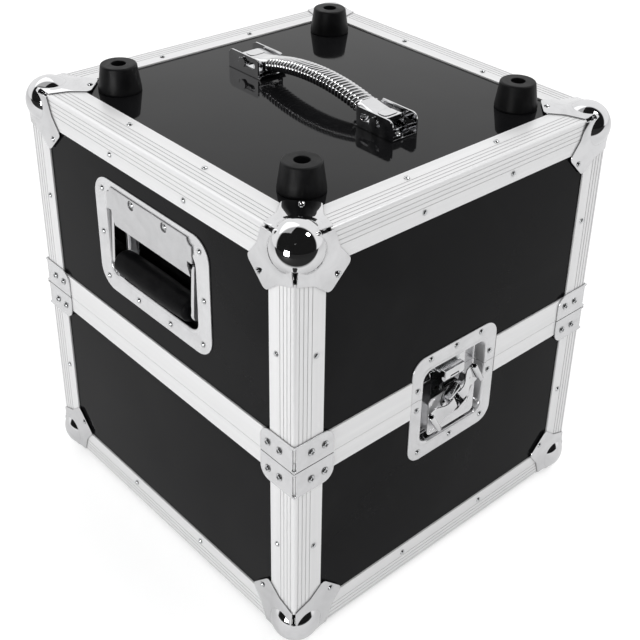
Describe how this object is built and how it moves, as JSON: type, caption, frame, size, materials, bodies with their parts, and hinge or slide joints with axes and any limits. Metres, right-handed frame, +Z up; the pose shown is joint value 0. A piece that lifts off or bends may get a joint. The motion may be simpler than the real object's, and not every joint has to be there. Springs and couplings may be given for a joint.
{
  "type": "record carrying case",
  "caption": "Box-shaped carrying case for records with a lift-off lid, twist latches, ball corners, a coil-wound top handle and a recessed side handle.",
  "frame": {"origin": "bottom centre of the case's bounding box, on the surface that the lower ball corners stand on", "axes": "+Z up, the front with its latch faces -Y, the side handle is on the -X wall"},
  "size_m": [0.385, 0.391, 0.4385],
  "materials": {
    "black_laminate": "smooth black laminate on ply",
    "extruded_aluminium": "natural extruded, fine lengthwise grooves",
    "chromed_steel": "bright plated pressed steel",
    "zinc_plated_steel": "bright zinc",
    "grey_foam": "soft closed-cell foam",
    "black_rubber": "moulded, satin"
  },
  "bodies": {
    "base": {"base_bottom_panel": "black_laminate", "base_front_panel": "black_laminate", "base_back_panel": "black_laminate", "base_left_panel": "black_laminate", "base_right_panel": "black_laminate", "base_edge_angles_x": "extruded_aluminium", "base_edge_angles_y": "extruded_aluminium", "base_posts": "extruded_aluminium", "base_tongue_rails_x": "extruded_aluminium", "base_tongue_rails_y": "extruded_aluminium", "base_ball_corners": "chromed_steel", "base_split_brackets": "chromed_steel", "base_rivets": "zinc_plated_steel", "base_bracket_screws": "zinc_plated_steel", "base_foam_pad": "grey_foam", "front_latch_dish": "chromed_steel", "back_latch_dish": "chromed_steel", "front_latch_plate": "chromed_steel", "back_latch_plate": "chromed_steel"},
    "lid": {"lid_top_panel": "black_laminate", "lid_front_panel": "black_laminate", "lid_back_panel": "black_laminate", "lid_left_panel": "black_laminate", "lid_right_panel": "black_laminate", "lid_edge_angles_x": "extruded_aluminium", "lid_edge_angles_y": "extruded_aluminium", "lid_posts": "extruded_aluminium", "lid_groove_rails_x": "extruded_aluminium", "lid_groove_rails_y": "extruded_aluminium", "lid_ball_corners": "chromed_steel", "lid_split_brackets": "chromed_steel", "lid_rivets": "zinc_plated_steel", "lid_bracket_screws": "zinc_plated_steel", "lid_foam_pad": "grey_foam", "rubber_feet": "black_rubber", "foot_screws": "zinc_plated_steel", "front_keeper_dish": "chromed_steel", "back_keeper_dish": "chromed_steel", "front_keeper": "chromed_steel", "back_keeper": "chromed_steel", "side_handle_dish": "chromed_steel", "side_handle_hinge_plate": "chromed_steel", "side_handle_springs": "zinc_plated_steel", "top_handle_brackets": "chromed_steel"},
    "top_handle": {"top_handle_strap": "chromed_steel", "top_handle_coil": "chromed_steel", "top_handle_pins": "chromed_steel"},
    "side_handle": {"side_handle_bail": "chromed_steel", "side_handle_grip": "black_rubber"},
    "front_rotor": {"front_latch_rotor": "chromed_steel"},
    "front_wing_left": {"front_latch_wing_left": "chromed_steel"},
    "front_wing_right": {"front_latch_wing_right": "chromed_steel"},
    "front_draw_plate": {"front_draw_plate": "chromed_steel"},
    "front_hook": {"front_hook": "chromed_steel"},
    "back_rotor": {"back_latch_rotor": "chromed_steel"},
    "back_wing_left": {"back_latch_wing_left": "chromed_steel"},
    "back_wing_right": {"back_latch_wing_right": "chromed_steel"},
    "back_draw_plate": {"back_draw_plate": "chromed_steel"},
    "back_hook": {"back_hook": "chromed_steel"}
  },
  "joints": [
    {"name": "lid_lift", "type": "slide", "parent": "base", "child": "lid", "axis": [0, 0, 1], "range_m": [0, 0.26]},
    {"name": "top_handle_slide", "type": "slide", "parent": "lid", "child": "top_handle", "axis": [0, 1, 0], "range_m": [-0.004, 0.004]},
    {"name": "side_handle_swing", "type": "hinge", "parent": "lid", "child": "side_handle", "pos_m": [-0.178, 0, 0.3285], "axis": [0, 1, 0], "range_deg": [0, 85], "stiffness_Nm_per_rad": 0.12, "springref_deg": -34.38},
    {"name": "front_latch_turn", "type": "hinge", "parent": "base", "child": "front_rotor", "pos_m": [0, -0.188, 0.1855], "axis": [0, -1, 0], "range_deg": [0, 180]},
    {"name": "front_wing_left_fold", "type": "hinge", "parent": "front_rotor", "child": "front_wing_left", "pos_m": [-0.00476, -0.1921, 0.18275], "axis": [-0.5, 0, 0.866], "range_deg": [0, 85]},
    {"name": "front_wing_right_fold", "type": "hinge", "parent": "front_rotor", "child": "front_wing_right", "pos_m": [0.00476, -0.1921, 0.18825], "axis": [0.5, 0, -0.866], "range_deg": [0, 85]},
    {"name": "front_draw_slide", "type": "slide", "parent": "base", "child": "front_draw_plate", "axis": [0, 0, 1], "range_m": [0, 0.008]},
    {"name": "front_hook_swing", "type": "hinge", "parent": "front_draw_plate", "child": "front_hook", "pos_m": [0, -0.186, 0.2075], "axis": [1, 0, 0], "range_deg": [-12, 45]},
    {"name": "back_latch_turn", "type": "hinge", "parent": "base", "child": "back_rotor", "pos_m": [0, 0.188, 0.1855], "axis": [0, 1, 0], "range_deg": [0, 180]},
    {"name": "back_wing_left_fold", "type": "hinge", "parent": "back_rotor", "child": "back_wing_left", "pos_m": [0.00476, 0.1921, 0.18275], "axis": [0.5, 0, 0.866], "range_deg": [0, 85]},
    {"name": "back_wing_right_fold", "type": "hinge", "parent": "back_rotor", "child": "back_wing_right", "pos_m": [-0.00476, 0.1921, 0.18825], "axis": [-0.5, 0, -0.866], "range_deg": [0, 85]},
    {"name": "back_draw_slide", "type": "slide", "parent": "base", "child": "back_draw_plate", "axis": [0, 0, 1], "range_m": [0, 0.008]},
    {"name": "back_hook_swing", "type": "hinge", "parent": "back_draw_plate", "child": "back_hook", "pos_m": [0, 0.186, 0.2075], "axis": [-1, 0, 0], "range_deg": [-12, 45]}
  ],
  "couplings": [
    {"joint": "front_draw_slide", "follows": "front_latch_turn", "m_per_rad": 0.002546},
    {"joint": "back_draw_slide", "follows": "back_latch_turn", "m_per_rad": 0.002546}
  ]
}
